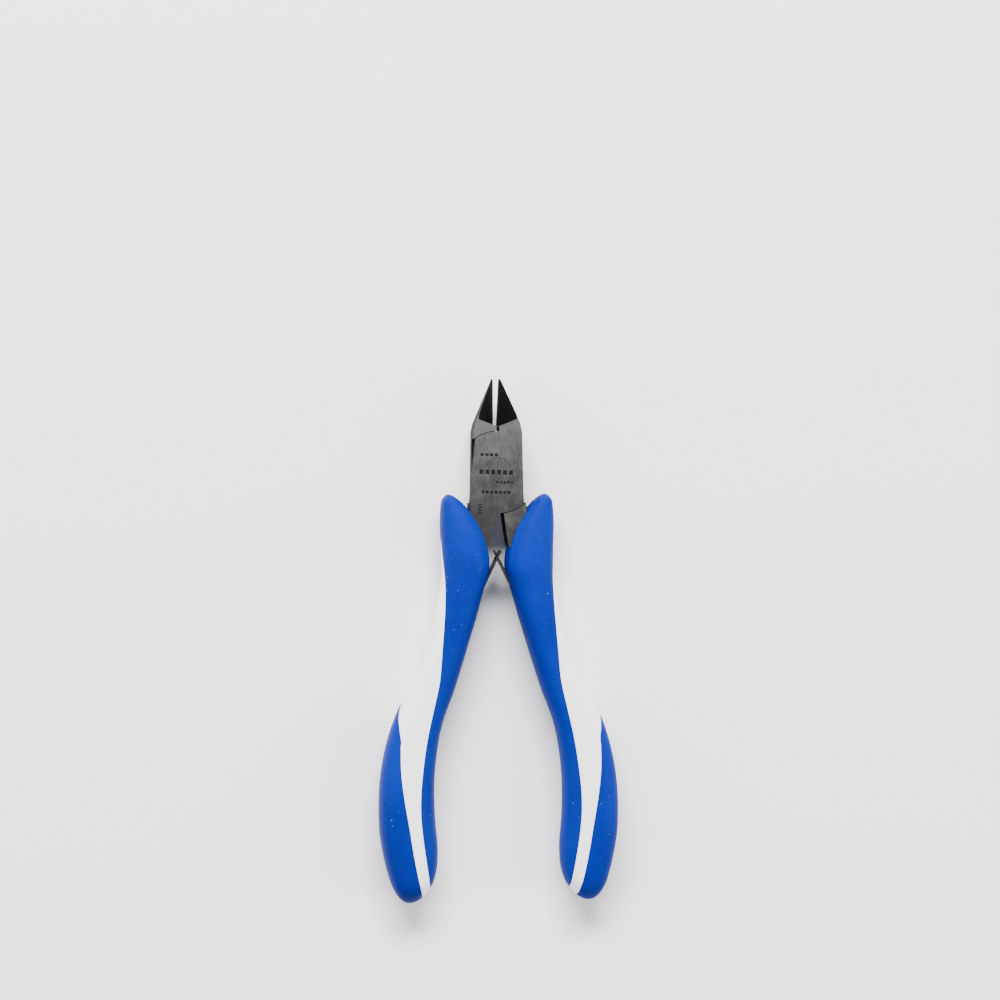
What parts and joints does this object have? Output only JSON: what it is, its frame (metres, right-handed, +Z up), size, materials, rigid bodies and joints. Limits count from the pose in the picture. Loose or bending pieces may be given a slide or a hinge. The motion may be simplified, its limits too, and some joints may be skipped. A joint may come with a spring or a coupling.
{
  "type": "sprue nippers",
  "caption": "Small lap-joint side cutters with slim bevelled jaws, crossed leaf springs and curved two-colour handle grips.",
  "frame": {"origin": "middle of the footprint, on the surface that the closed-side-down tool lies on", "axes": "+Y towards the jaw tips along the length, +X to the right across the handles, +Z up along the pivot axis, out of the front face"},
  "size_m": [0.055, 0.12, 0.0142],
  "materials": {
    "tool_steel": "ground bright head with brushing along the tool, black oxide jaws",
    "pivot_steel": "ground flush with the head",
    "spring_steel": "blued spring steel",
    "rivet_steel": "blued steel",
    "hard_grip": "smooth white molded plastic",
    "soft_grip": "matte blue soft elastomer"
  },
  "bodies": {
    "front_half": {"front_lever": "tool_steel", "pivot_rivet": "pivot_steel", "left_leaf_spring": "spring_steel", "left_spring_rivet": "rivet_steel", "left_grip_core": "hard_grip", "left_grip_skin": "soft_grip", "left_grip_palm": "soft_grip"},
    "back_half": {"back_lever": "tool_steel", "right_leaf_spring": "spring_steel", "right_spring_rivet": "rivet_steel", "right_grip_core": "hard_grip", "right_grip_skin": "soft_grip", "right_grip_palm": "soft_grip"}
  },
  "joints": [
    {"name": "pivot", "type": "hinge", "parent": "front_half", "child": "back_half", "pos_m": [0, 0.03861, 0.00711], "axis": [0, 0, 1], "range_deg": [-3, 8], "stiffness_Nm_per_rad": 2, "deforming": ["left_leaf_spring", "right_leaf_spring"]}
  ]
}
